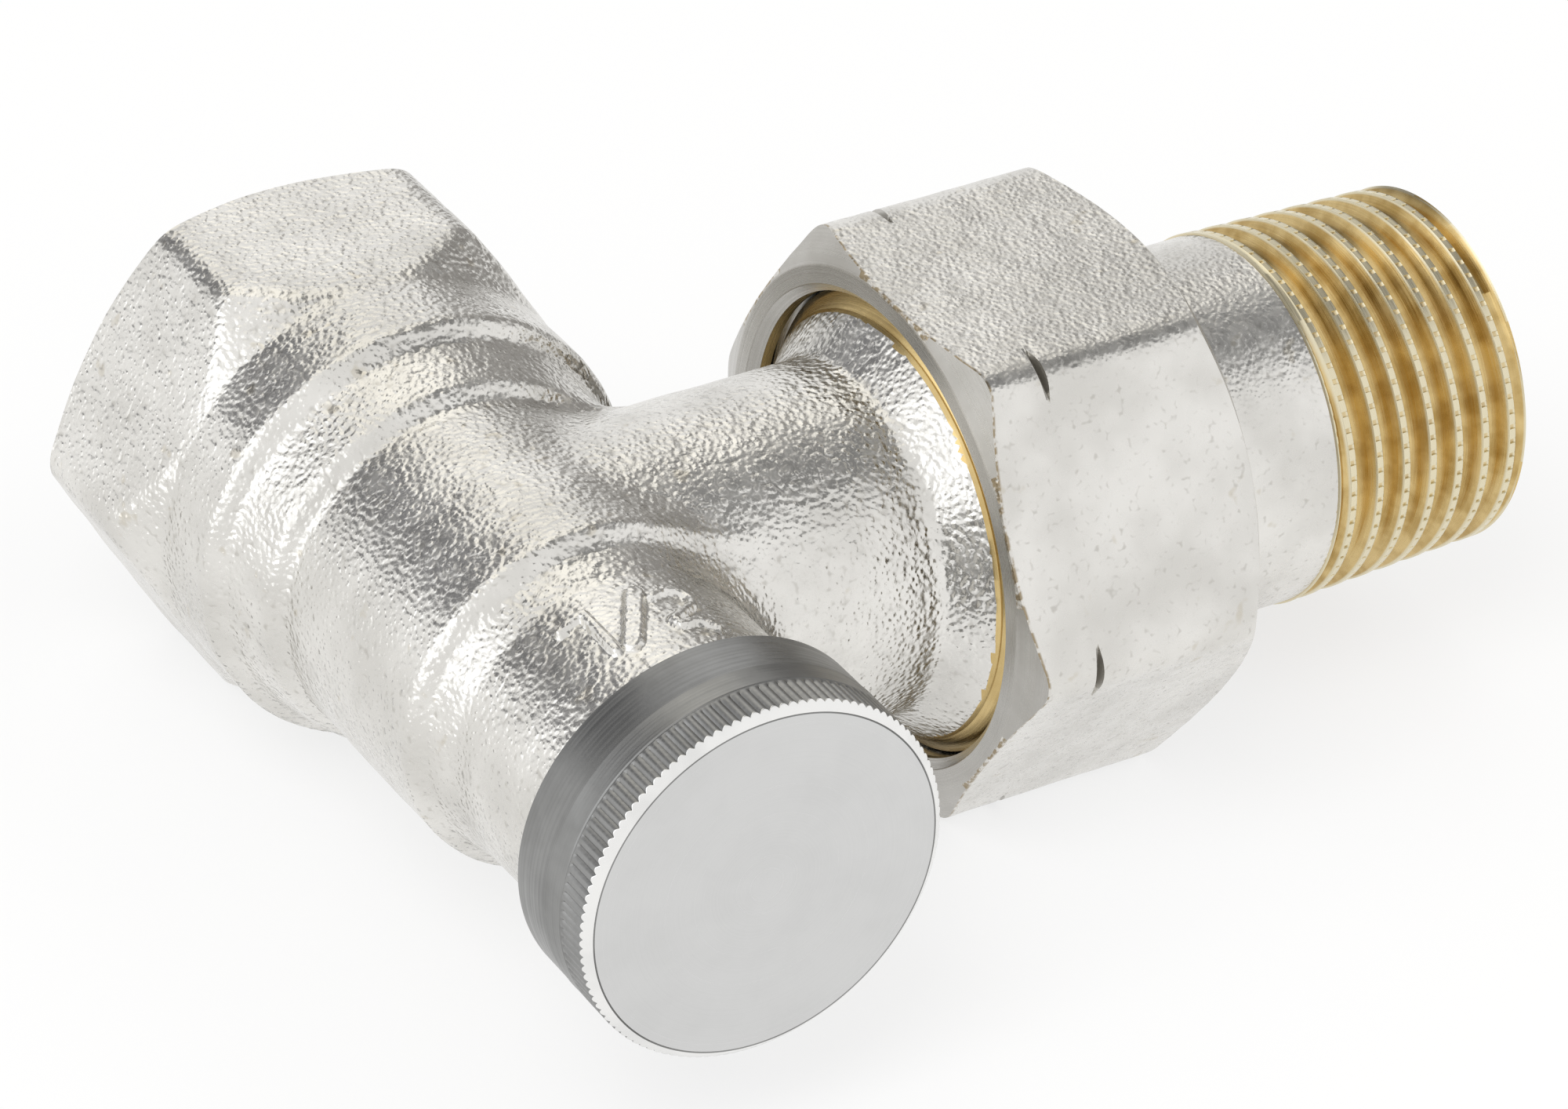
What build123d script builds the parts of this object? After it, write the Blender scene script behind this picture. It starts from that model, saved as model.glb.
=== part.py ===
from build123d import *

import os
from math import asin, atan, ceil, cos, degrees, pi, radians, sin, sqrt, tan

# Angle lockshield valve for a radiator, 1/2 inch, in millimetres.
# The pieces are drawn about the crossing of the two pipe axes: +X runs out of the outlet, +Y out of
# the inlet, the cap looks along -Y, and stations are distances from the crossing. The finished
# pieces are then moved so that the origin is the centre of the inlet's mouth.

# Clearances
thread_gap = 0.05
face_gap = 0.10
press_gap = 0.02
seal_gap = 0.03

# Pipe thread, 14 to the inch, taper 1 in 16
pipe_pitch = 25.4 / 14
pipe_flank = 27.5
pipe_crest_flat = 0.34
pipe_depth = 1.05
groove_spare = 0.3
taper_slope = 1 / 32
pipe_tip_r = 10.22

# Inlet end of the body: a hexagon that runs into a round shoulder
inlet_reach = 27.8
inlet_af = 25.6
inlet_corner_r = 1.5
mouth_rim = 0.2
mouth_slope = 36
hex_slope = 29
inlet_bore_r = 9.35
inlet_bore_depth = 14.8
inlet_floor_slope = 49

# Round middle of the body
shoulder_relief = 0.05
shoulder_land = 4.74
shoulder_slope = 24.8
shoulder_round = 1.1
waist_station = 6.1
barrel_r = 10.35
waist_round = 1.5
barrel_end = 6.3
barrel_round = 1.6
neck_start = 9.0
neck_r = 8.95
neck_round = 1.6

# Neck under the cap
neck_shoulder = 18.3
cap_thread_r = 8.0
neck_end = 22.6
neck_edge = 0.4

# Seat and chamber
seat_bore_r = 4.2
seat_face = 4.6
seat_lip = 0.6
seat_lip_height = 0.6
chamber_r = 6.6
chamber_end = 7.5

# Outlet branch and union spigot
branch_r = 9.9
branch_blend = 2.2
flare_start = 20.0
flare_round = 1.4
flare_slope = 44
flare_r = 12.05
spigot_r = 12.98
spigot_reach = 30.5
spigot_edge = 0.5
outlet_bore_r = 7.3
outlet_bore_start = 6.0
union_seat_r = 9.6
union_half_angle = 30

# Union nut
nut_side_wall = 1.62
nut_corner_r = 2.0
nut_length = 15.5
nut_near_rim = 0.1
nut_near_slope = 23
nut_far_rim = 0.3
nut_far_slope = 35
nut_wall = 3.5
nut_mouth_edge = 0.35
nut_neck_gap = 0.25
nut_mark_station = 4.1
nut_mark_width = 0.7
nut_mark_depth = 0.35

# Tailpiece
tail_reach = 58.0
tail_neck_r = 10.5
tail_bore_r = 6.9
collar_r = 11.8
collar_thickness = 2.8
nose_length = 2.5
nose_edge = 0.3
tail_thread_length = 13.2
tail_end_edge = 0.8
lug_width = 2.4
lug_height = 1.1
lug_length = 9.0
lug_inset = 2.0
nose_groove_inset = 1.6
nose_groove_width = 1.4
nose_groove_wall = 0.85

# Cap and its gasket
cap_r = 10.4
cap_reach = 25.3
cap_front_edge = 0.45
cap_back_edge = 0.15
gasket_thickness = 1.0
gasket_width = 1.4
knurl_count = 120
knurl_depth = 0.22
knurl_length = 1.9
knurl_ring_depth = 0.12

# Bonnet
bonnet_plug_r = 6.3
bonnet_thread_r = 6.0
bonnet_step = 16.0
bonnet_nose_r = 5.4
bonnet_nose_start = 9.5
bonnet_recess = 0.3
bonnet_foot = 0.2
bonnet_slot_width = 1.6
bonnet_slot_depth = 1.2
bonnet_groove_start = 17.6
bonnet_groove_width = 1.2
bonnet_groove_depth = 0.9

# Spindle
lift = 3.5
spindle_bore_r = 4.2
spindle_thread_r = 3.9
spindle_top = 19.3
spindle_seal_length = 4.9
seal_land = 0.8
seal_groove_width = 1.1
seal_groove_depth = 0.85
spindle_stem_end = 7.7
stem_neck_r = 1.4
button_r = 2.3
button_length = 1.0
socket_af = 4.0
socket_depth = 4.5
stop_ring_thickness = 0.8
stop_ring_inner_r = 3.4
stop_groove_depth = 0.5
stop_ring_opening = 60

# Shutter, its clip, washer and screw
shutter_r = 5.2
washer_thickness = 1.6
washer_proud = 0.5
washer_rim = 0.3
shutter_plate = 1.4
shutter_boss_r = 3.2
shutter_boss_length = 3.6
button_pocket_depth = 2.6
clip_thickness = 0.8
clip_r = 2.85
screw_r = 1.1
screw_head_r = 2.1
screw_head_height = 1.1
screw_slot_width = 0.6
screw_slot_depth = 0.5
screw_length = 3.2


def face_through(corners):
    """Face through (x, y) or (x, y, radius) corners, where a radius rounds its corner."""
    points = [Vector(corner[0], corner[1]) for corner in corners]
    edges = []
    joins = []
    for i, here in enumerate(points):
        if len(corners[i]) < 3:
            joins.append((here, here))
            continue
        radius = corners[i][2]
        back = (points[i - 1] - here).normalized()
        ahead = (points[(i + 1) % len(points)] - here).normalized()
        half = radians(back.get_angle(ahead)) / 2
        reach = radius / tan(half)
        middle = here + (back + ahead).normalized() * (radius / sin(half) - radius)
        joins.append((here + back * reach, here + ahead * reach))
        edges.append(ThreePointArc(joins[-1][0], middle, joins[-1][1]))
    for i, join in enumerate(joins):
        edges.append(Line(join[1], joins[(i + 1) % len(joins)][0]))
    return make_face(edges)


def turned_on_y(corners):
    """Turn an outline of (radius, station) corners about the inlet's axis."""
    return revolve(face_through(corners), axis=Axis.Y)


def turned_on_x(corners):
    """Turn an outline of (station, radius) corners about the outlet's axis."""
    return revolve(face_through(corners), axis=Axis.X)


def tube_on_y(outer_r, inner_r, low, high):
    """Plain ring about the inlet's axis."""
    return turned_on_y([(inner_r, low), (outer_r, low), (outer_r, high), (inner_r, high)])


def rod_on_y(radius, low, high):
    """Plain rod about the inlet's axis."""
    return turned_on_y([(0, low), (radius, low), (radius, high), (0, high)])


def ring_on_y(middle_r, section_r, station):
    """Round-section ring about the inlet's axis."""
    return revolve(Pos(middle_r, station) * Circle(section_r), axis=Axis.Y)


def plane_on_y(station):
    """Sketch plane across the inlet's axis."""
    return Plane((0, station, 0), x_dir=(1, 0, 0), z_dir=(0, 1, 0))


def plane_on_x(station):
    """Sketch plane across the outlet's axis, with its own x along +Y."""
    return Plane((station, 0, 0), x_dir=(0, 1, 0), z_dir=(1, 0, 0))


def hexagon(across_flats, corner_r=0, turn=0):
    """Hexagon with rounded corners; unturned, it has a corner on its own x axis."""
    shape = RegularPolygon(across_flats / 2, 6, major_radius=False, rotation=turn)
    if corner_r:
        shape = fillet(shape.vertices(), corner_r)
    return shape


# Places that several pieces share
chamber_floor = seat_face + seat_lip_height
washer_face = seat_face - lift - face_gap
washer_back = washer_face - washer_thickness
plate_back = washer_back - shutter_plate
boss_end = plate_back - shutter_boss_length
pocket_floor = boss_end + button_pocket_depth
button_face = pocket_floor - face_gap
button_back = button_face - button_length
clip_face = button_back - face_gap
clip_back = clip_face - clip_thickness
bonnet_top = neck_end - bonnet_recess
bonnet_bottom = chamber_end + bonnet_foot
seal_end = spindle_top - spindle_seal_length
seal_groove_r = spindle_bore_r - seal_gap - seal_groove_depth
stop_ring_front = spindle_top + face_gap
seat_slope = tan(radians(union_half_angle))
collar_front = spigot_reach + face_gap
collar_back = collar_front + collar_thickness
nose_start = spigot_reach - nose_length
nose_groove_start = spigot_reach - nose_groove_inset
nose_groove_r = tail_bore_r + nose_groove_wall
nut_af = 2 * (spigot_r + thread_gap + nut_side_wall)
nut_shoulder = collar_back + face_gap
nut_far = nut_shoulder + nut_wall
nut_near = nut_far - nut_length
thread_start = tail_reach - tail_thread_length
flat_edge = inlet_reach - mouth_rim * tan(radians(mouth_slope))
nut_turn = degrees(asin((nut_af - inlet_af) / 2 / flat_edge))


def union_seat_r_at(station):
    """Radius of the spigot's conical seat."""
    return union_seat_r - (spigot_reach - station) * seat_slope


def crest_r_at(station):
    """Radius of the taper thread's crest."""
    return pipe_tip_r + (tail_reach - station) * taper_slope


def body_outside():
    """Forged outside: hexagon, round shoulder, barrel, neck and the flared outlet branch."""
    flat_r = inlet_af / 2
    corner_r = flat_r / cos(pi / 6)
    round_r = flat_r - shoulder_relief
    mouth_drop = (corner_r - flat_r + mouth_rim) * tan(radians(mouth_slope))
    shoulder_end = waist_station + (round_r - barrel_r) / tan(radians(shoulder_slope))
    shoulder_start = shoulder_end + shoulder_land
    hex_end = shoulder_start + (corner_r - round_r) / tan(radians(hex_slope))
    main = turned_on_y(
        [
            (0, inlet_reach),
            (flat_r - mouth_rim, inlet_reach),
            (corner_r, inlet_reach - mouth_drop),
            (corner_r, hex_end),
            (round_r, shoulder_start, shoulder_round),
            (round_r, shoulder_end, shoulder_round),
            (barrel_r, waist_station, waist_round),
            (barrel_r, -barrel_end, barrel_round),
            (neck_r, -neck_start, neck_round),
            (neck_r, -neck_shoulder),
            (cap_thread_r, -neck_shoulder),
            (cap_thread_r, neck_edge - neck_end),
            (cap_thread_r - neck_edge, -neck_end),
            (0, -neck_end),
        ]
    )
    sheath = extrude(
        plane_on_y(-neck_end) * hexagon(inlet_af, inlet_corner_r), neck_end + inlet_reach
    )
    main = main & sheath
    flare_end = flare_start + (flare_r - branch_r) / tan(radians(flare_slope))
    branch = turned_on_x(
        [
            (0, 0),
            (0, branch_r),
            (flare_start, branch_r, flare_round),
            (flare_end, flare_r),
            (flare_end + spigot_r - flare_r, spigot_r),
            (spigot_reach - spigot_edge, spigot_r),
            (spigot_reach, spigot_r - spigot_edge),
            (spigot_reach, 0),
        ]
    )
    joined = main + branch
    old = main.edges() + branch.edges()
    centres = [edge.center() for edge in old]
    seam = [
        edge
        for edge in joined.edges()
        if 0.1 < edge.center().X < barrel_r + branch_blend
        and all((edge.center() - centre).length > 0.05 for centre in centres)
        and edge.geom_type not in (GeomType.LINE, GeomType.CIRCLE)
    ]
    return fillet(seam, branch_blend)


def valve_body():
    """Forged body with its waterways, seat, neck bore and union seat."""
    floor_drop = (inlet_bore_r - seat_bore_r) / tan(radians(inlet_floor_slope))
    inlet_end = inlet_reach - inlet_bore_depth
    lip_r = seat_bore_r + seat_lip
    main_way = turned_on_y(
        [
            (0, inlet_reach),
            (inlet_bore_r, inlet_reach),
            (inlet_bore_r, inlet_end),
            (seat_bore_r, inlet_end - floor_drop),
            (seat_bore_r, seat_face),
            (lip_r, seat_face),
            (lip_r + seat_lip_height, chamber_floor),
            (chamber_r, chamber_floor),
            (chamber_r, -chamber_end),
            (bonnet_nose_r, -chamber_end),
            (bonnet_nose_r, -bonnet_nose_start),
            (bonnet_thread_r, -bonnet_nose_start),
            (bonnet_thread_r, -bonnet_step),
            (bonnet_plug_r, -bonnet_step),
            (bonnet_plug_r, -neck_end),
            (0, -neck_end),
        ]
    )
    seat_inner = spigot_reach - (union_seat_r - outlet_bore_r) / seat_slope
    side_way = turned_on_x(
        [
            (outlet_bore_start, 0),
            (outlet_bore_start, outlet_bore_r),
            (seat_inner, outlet_bore_r),
            (spigot_reach, union_seat_r),
            (spigot_reach, 0),
        ]
    )
    return body_outside() - main_way - side_way


def bonnet():
    """Headwork bush: plug, thread and nose outside, spindle bore and thread inside."""
    plug_r = bonnet_plug_r - press_gap
    thread_r = bonnet_thread_r - press_gap
    nose_r = bonnet_nose_r - press_gap
    groove_r = plug_r - bonnet_groove_depth
    stop_back = stop_ring_front + stop_ring_thickness
    stop_groove_r = spindle_bore_r + stop_groove_depth
    thread_end = seal_end - lift - face_gap
    spindle_hole_r = spindle_thread_r + thread_gap
    bush = turned_on_y(
        [
            (spindle_hole_r, -bonnet_bottom),
            (nose_r, -bonnet_bottom),
            (nose_r, -bonnet_nose_start - press_gap),
            (thread_r, -bonnet_nose_start - press_gap),
            (thread_r, -bonnet_step - press_gap),
            (plug_r, -bonnet_step - press_gap),
            (plug_r, -bonnet_groove_start),
            (groove_r, -bonnet_groove_start),
            (groove_r, -bonnet_groove_start - bonnet_groove_width),
            (plug_r, -bonnet_groove_start - bonnet_groove_width),
            (plug_r, -bonnet_top),
            (spindle_bore_r, -bonnet_top),
            (spindle_bore_r, -stop_back),
            (stop_groove_r, -stop_back),
            (stop_groove_r, -stop_ring_front),
            (spindle_bore_r, -stop_ring_front),
            (spindle_bore_r, -thread_end),
            (spindle_hole_r, -thread_end),
        ]
    )
    slot = Pos(0, bonnet_slot_depth / 2 - bonnet_top, 0) * Box(
        2 * bonnet_plug_r, bonnet_slot_depth, bonnet_slot_width
    )
    return bush - slot


def bonnet_seal():
    """O-ring round the bonnet's plug."""
    groove_r = bonnet_plug_r - press_gap - bonnet_groove_depth
    section_r = (bonnet_plug_r - groove_r - seal_gap) / 2
    station = bonnet_groove_start + bonnet_groove_width / 2
    return ring_on_y(groove_r + section_r, section_r, -station)


def seal_groove_stations():
    """Near ends of the spindle's two seal grooves, outer one first."""
    outer = spindle_top - seal_land
    inner = seal_end + seal_land + seal_groove_width
    return outer, inner


def spindle():
    """Regulating spindle: sealed head with a key socket, thread, thin neck and button end."""
    head_r = spindle_bore_r - thread_gap
    outer, inner = seal_groove_stations()
    shape = turned_on_y(
        [
            (0, -spindle_top),
            (head_r, -spindle_top),
            (head_r, -outer),
            (seal_groove_r, -outer),
            (seal_groove_r, seal_groove_width - outer),
            (head_r, seal_groove_width - outer),
            (head_r, -inner),
            (seal_groove_r, -inner),
            (seal_groove_r, seal_groove_width - inner),
            (head_r, seal_groove_width - inner),
            (head_r, -seal_end),
            (spindle_thread_r, -seal_end),
            (spindle_thread_r, -spindle_stem_end),
            (stem_neck_r, -spindle_stem_end),
            (stem_neck_r, button_back),
            (button_r, button_back),
            (button_r, button_face),
            (0, button_face),
        ]
    )
    socket = extrude(plane_on_y(-spindle_top) * hexagon(socket_af), socket_depth)
    return shape - socket


def spindle_seal(groove_near):
    """One of the spindle's O-rings, in the groove that starts at this station."""
    section_r = seal_groove_depth / 2
    return ring_on_y(seal_groove_r + section_r, section_r, seal_groove_width / 2 - groove_near)


def spindle_stop_ring():
    """Internal retaining ring with an opening for its pliers."""
    outer_r = spindle_bore_r + stop_groove_depth - press_gap
    ring = tube_on_y(
        outer_r,
        stop_ring_inner_r,
        press_gap - stop_ring_front - stop_ring_thickness,
        -stop_ring_front - press_gap,
    )
    half = radians(stop_ring_opening / 2)
    reach = 2 * outer_r
    wedge = make_face(
        Polyline(
            (0, 0),
            (reach * cos(half), reach * sin(half)),
            (reach * cos(half), -reach * sin(half)),
            close=True,
        )
    )
    opening = extrude(plane_on_y(-bonnet_top) * wedge, bonnet_top - seal_end)
    return ring - opening


def shutter():
    """Disc holder: washer recess in front, boss with the button's pocket and clip slot behind."""
    recess_r = shutter_r - washer_rim
    rim_face = washer_face - washer_proud
    pocket_r = button_r + face_gap
    shape = turned_on_y(
        [
            (0, washer_back),
            (recess_r, washer_back),
            (recess_r, rim_face),
            (shutter_r, rim_face),
            (shutter_r, plate_back),
            (shutter_boss_r, plate_back),
            (shutter_boss_r, boss_end),
            (pocket_r, boss_end),
            (pocket_r, pocket_floor),
            (0, pocket_floor),
        ]
    )
    screw_hole = rod_on_y(screw_r + press_gap, washer_face - screw_length - face_gap, washer_face)
    slot = Pos(0, (clip_face + clip_back) / 2, 0) * Box(
        2 * (clip_r + press_gap), clip_thickness + 2 * press_gap, 2 * shutter_boss_r
    )
    return shape - screw_hole - slot


def shutter_clip():
    """Horseshoe clip behind the spindle's button."""
    inner_r = stem_neck_r + face_gap
    ring = rod_on_y(clip_r, clip_back, clip_face)
    hole = rod_on_y(inner_r, clip_back, clip_face)
    mouth = Pos(0, (clip_back + clip_face) / 2, clip_r / 2) * Box(
        2 * inner_r, clip_thickness, clip_r
    )
    return ring - hole - mouth


def seat_washer():
    """Soft disc that closes on the seat."""
    outer_r = shutter_r - washer_rim - press_gap
    return tube_on_y(outer_r, screw_r + press_gap, washer_back + press_gap, washer_face)


def washer_screw():
    """Cheese-head screw through the washer."""
    head_face = washer_face + press_gap + screw_head_height
    shape = turned_on_y(
        [
            (0, washer_face - screw_length),
            (screw_r, washer_face - screw_length),
            (screw_r, washer_face + press_gap),
            (screw_head_r, washer_face + press_gap),
            (screw_head_r, head_face),
            (0, head_face),
        ]
    )
    slot = Pos(0, head_face - screw_slot_depth / 2, 0) * Box(
        2 * screw_head_r, screw_slot_depth, screw_slot_width
    )
    return shape - slot


def cap():
    """Turned cap: blind thread bore, chamfered edges and a straight knurl at the front."""
    back = neck_shoulder + face_gap
    floor = neck_end + face_gap + gasket_thickness + press_gap
    bore_r = cap_thread_r + thread_gap
    knurl_front = cap_reach - cap_front_edge
    knurl_back = knurl_front - knurl_length
    shape = turned_on_y(
        [
            (0, -cap_reach),
            (cap_r - cap_front_edge, -cap_reach),
            (cap_r, -knurl_front),
            (cap_r, -knurl_back),
            (cap_r - knurl_ring_depth, knurl_ring_depth - knurl_back),
            (cap_r, 2 * knurl_ring_depth - knurl_back),
            (cap_r, -back - cap_back_edge),
            (cap_r - cap_back_edge, -back),
            (bore_r, -back),
            (bore_r, -floor),
            (0, -floor),
        ]
    )
    half_width = pi * cap_r / knurl_count
    groove = make_face(
        Polyline(
            (cap_r - knurl_depth, 0),
            (cap_r + knurl_depth, 2 * half_width),
            (cap_r + knurl_depth, -2 * half_width),
            close=True,
        )
    )
    tooth_gap = extrude(plane_on_y(-cap_reach) * groove, cap_reach - knurl_back)
    turns = [Rot(0, 360 * i / knurl_count, 0) for i in range(knurl_count)]
    return shape - [turn * tooth_gap for turn in turns]


def cap_gasket():
    """Flat ring between the cap's floor and the end of the neck."""
    outer_r = cap_thread_r - press_gap
    start = neck_end + face_gap
    return tube_on_y(outer_r, outer_r - gasket_width, -start - gasket_thickness, -start)


def union_nut():
    """Hexagon nut with a turned face at each end and a neck bore behind its shoulder."""
    flat_r = nut_af / 2
    corner_r = flat_r / cos(pi / 6)
    near_rise = (corner_r - flat_r + nut_near_rim) * tan(radians(nut_near_slope))
    far_drop = (corner_r - flat_r + nut_far_rim) * tan(radians(nut_far_slope))
    mark = nut_near + nut_mark_station
    mark_r = corner_r - (2 / sqrt(3) - 1) * nut_corner_r
    bore_r = spigot_r + thread_gap
    neck_hole_r = tail_neck_r + nut_neck_gap
    turned = turned_on_x(
        [
            (nut_near, bore_r + nut_mouth_edge),
            (nut_near, flat_r - nut_near_rim),
            (nut_near + near_rise, corner_r),
            (mark - nut_mark_width / 2, corner_r),
            (mark, mark_r - nut_mark_depth),
            (mark + nut_mark_width / 2, corner_r),
            (nut_far - far_drop, corner_r),
            (nut_far, flat_r - nut_far_rim),
            (nut_far, neck_hole_r),
            (nut_shoulder, neck_hole_r),
            (nut_shoulder, bore_r),
            (nut_near + nut_mouth_edge, bore_r),
        ]
    )
    blank = extrude(plane_on_x(nut_near) * hexagon(nut_af, nut_corner_r, nut_turn), nut_length)
    return turned & blank


def thread_groove_turn(start, rise):
    """One turn of the taper thread's groove, from this station back; its bed comes up by rise."""
    top_half = (pipe_pitch - pipe_crest_flat) / 2
    flare = tan(radians(pipe_flank))
    start_r = crest_r_at(start)
    path = Helix(
        pipe_pitch,
        pipe_pitch,
        start_r,
        center=(start, 0, 0),
        direction=(-1, 0, 0),
        cone_angle=degrees(atan(taper_slope + rise / pipe_pitch)),
    )
    outward = path @ 0 - Vector(start, 0, 0)
    section_plane = Plane(path @ 0, x_dir=outward, z_dir=path % 0)
    section = make_face(
        Polyline(
            (groove_spare, top_half + groove_spare * flare),
            (-pipe_depth, top_half - pipe_depth * flare),
            (-pipe_depth, pipe_depth * flare - top_half),
            (groove_spare, -top_half - groove_spare * flare),
            close=True,
        )
    )
    return sweep(section_plane * section, path=path, is_frenet=True)


def tailpiece():
    """Tail: grooved conical nose, collar, plain neck, taper thread and two lugs for the key."""
    nose_r = union_seat_r_at(nose_start - face_gap)
    groove_end = nose_groove_start + nose_groove_width
    edge_start = tail_reach - tail_end_edge
    blank = turned_on_x(
        [
            (nose_start, tail_bore_r),
            (nose_start, nose_r - nose_edge),
            (nose_start + nose_edge, union_seat_r_at(nose_start + nose_edge - face_gap)),
            (nose_groove_start, union_seat_r_at(nose_groove_start - face_gap)),
            (nose_groove_start, nose_groove_r),
            (groove_end, nose_groove_r),
            (groove_end, union_seat_r_at(groove_end - face_gap)),
            (collar_front, union_seat_r_at(collar_front - face_gap)),
            (collar_front, collar_r),
            (collar_back, collar_r),
            (collar_back, tail_neck_r),
            (thread_start, tail_neck_r),
            (thread_start + crest_r_at(thread_start) - tail_neck_r, crest_r_at(thread_start)),
            (edge_start, crest_r_at(edge_start)),
            (tail_reach, crest_r_at(tail_reach) - tail_end_edge),
            (tail_reach, tail_bore_r),
        ]
    )
    turns = ceil(tail_thread_length / pipe_pitch + 0.5)
    for i in range(1, turns):
        blank -= thread_groove_turn(thread_start + (i + 1) * pipe_pitch, 0)
    blank -= thread_groove_turn(thread_start + pipe_pitch, pipe_depth)
    lug_centre = tail_reach - lug_inset - lug_length / 2
    lug_bar = Pos(lug_centre, 0, 0) * Box(lug_length, lug_width, 2 * tail_bore_r + lug_height)
    lug_room = Pos(lug_centre, 0, 0) * Box(
        lug_length, 2 * lug_width, 2 * (tail_bore_r - lug_height)
    )
    return blank + (lug_bar - lug_room)


def tail_seal():
    """O-ring in the nose's groove, just clear of the union seat."""
    station = nose_groove_start + nose_groove_width / 2
    tilt = cos(radians(union_half_angle))
    room = (union_seat_r_at(station) - nose_groove_r) * tilt - seal_gap
    section_r = room / (1 + tilt)
    circle = Pos(station, nose_groove_r + section_r) * Circle(section_r)
    return revolve(circle, axis=Axis.X)


outer_groove, inner_groove = seal_groove_stations()
pieces = {
    "valve_body": valve_body(),
    "bonnet": bonnet(),
    "bonnet_seal": bonnet_seal(),
    "spindle": spindle(),
    "spindle_seal_outer": spindle_seal(outer_groove),
    "spindle_seal_inner": spindle_seal(inner_groove),
    "spindle_stop_ring": spindle_stop_ring(),
    "shutter": shutter(),
    "shutter_clip": shutter_clip(),
    "seat_washer": seat_washer(),
    "washer_screw": washer_screw(),
    "cap": cap(),
    "cap_gasket": cap_gasket(),
    "union_nut": union_nut(),
    "tailpiece": tailpiece(),
    "tail_seal": tail_seal(),
}

os.makedirs("parts", exist_ok=True)
for node, piece in pieces.items():
    placed = Pos(0, -inlet_reach, 0) * piece
    placed.label = node
    export_step(placed, f"parts/{node}.step")
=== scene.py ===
from math import asin, atan, cos, degrees, pi, radians, sin, sqrt, tan

import bmesh
import bpy
import numpy as np
from mathutils import Matrix, Vector, noise


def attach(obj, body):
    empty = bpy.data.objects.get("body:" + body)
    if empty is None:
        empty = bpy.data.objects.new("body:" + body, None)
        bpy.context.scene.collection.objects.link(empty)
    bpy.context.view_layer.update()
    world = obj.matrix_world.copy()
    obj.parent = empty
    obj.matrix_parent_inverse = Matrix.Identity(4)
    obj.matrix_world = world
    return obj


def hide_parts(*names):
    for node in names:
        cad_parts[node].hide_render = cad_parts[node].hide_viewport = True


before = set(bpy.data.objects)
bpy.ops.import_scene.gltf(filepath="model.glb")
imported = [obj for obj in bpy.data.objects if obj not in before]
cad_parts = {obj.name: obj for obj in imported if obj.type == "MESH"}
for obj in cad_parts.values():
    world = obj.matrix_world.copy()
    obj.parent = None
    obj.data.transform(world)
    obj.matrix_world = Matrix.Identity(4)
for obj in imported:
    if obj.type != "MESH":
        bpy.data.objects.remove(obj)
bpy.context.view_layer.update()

# Sizes are in millimetres about the crossing of the two pipe axes: +X out of the outlet, +Y out of
# the inlet. The row's origin is the centre of the inlet's mouth.
INLET_REACH = 27.8
PITCH = 25.4 / 14

INLET_AF = 25.6
MOUTH_RIM, MOUTH_SLOPE = 0.2, 36
INLET_BORE_R, INLET_FLOOR = 9.35, 13.0
BARREL_R, NECK_R = 10.35, 8.95
NECK_SHOULDER, NECK_END, CAP_THREAD_R = 18.3, 22.6, 8.0
BRANCH_R, FLARE_START, FLARE_SLOPE, FLARE_R = 9.9, 20.0, 44, 12.05
SPIGOT_R, SPIGOT_REACH = 12.98, 30.5
OUTLET_BORE_R, UNION_SEAT_R = 7.3, 9.6

NUT_FLAT_R, NUT_NEAR, NUT_FAR, NUT_SHOULDER = 14.65, 21.5, 37.0, 33.5
NUT_TURN = asin((2 * NUT_FLAT_R - INLET_AF) / 2 / (INLET_REACH - 0.145))
COS30 = cos(pi / 6)
NEAR_SLOPE, FAR_SLOPE = 23, 35

STOCK = 0.6
VOXEL = 0.34


def in_row(points):
    """Millimetres about the crossing to metres in the row's frame."""
    return (np.asarray(points, float) + (0, -INLET_REACH, 0)) / 1000


def smooth_max(a, b, k):
    h = np.clip(k - np.abs(a - b), 0, None) / np.maximum(k, 1e-6)
    return np.maximum(a, b) + h * h * k / 4


def smooth_min(a, b, k):
    return -smooth_max(-a, -b, k)


def soft_outline(stations, radii, blur):
    """A turned outline as a function of station, with its corners eased, and its slope."""
    s = np.arange(stations[0] - 4, stations[-1] + 4, 0.05)
    r = np.interp(s, stations, radii)
    span = np.arange(-80, 81) * 0.05
    weight = np.exp(-0.5 * (span / blur) ** 2)
    padded = np.pad(r, 80, mode="edge")
    eased = np.convolve(padded, weight / weight.sum(), mode="valid")
    slope = np.gradient(eased, 0.05)

    def distance(station, radius):
        lean = np.interp(station, s, slope)
        return (radius - np.interp(station, s, eased)) / np.sqrt(1 + lean * lean)

    return distance


# ---- forging: a field that is negative inside, turned into a mesh of even quads ----


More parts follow.
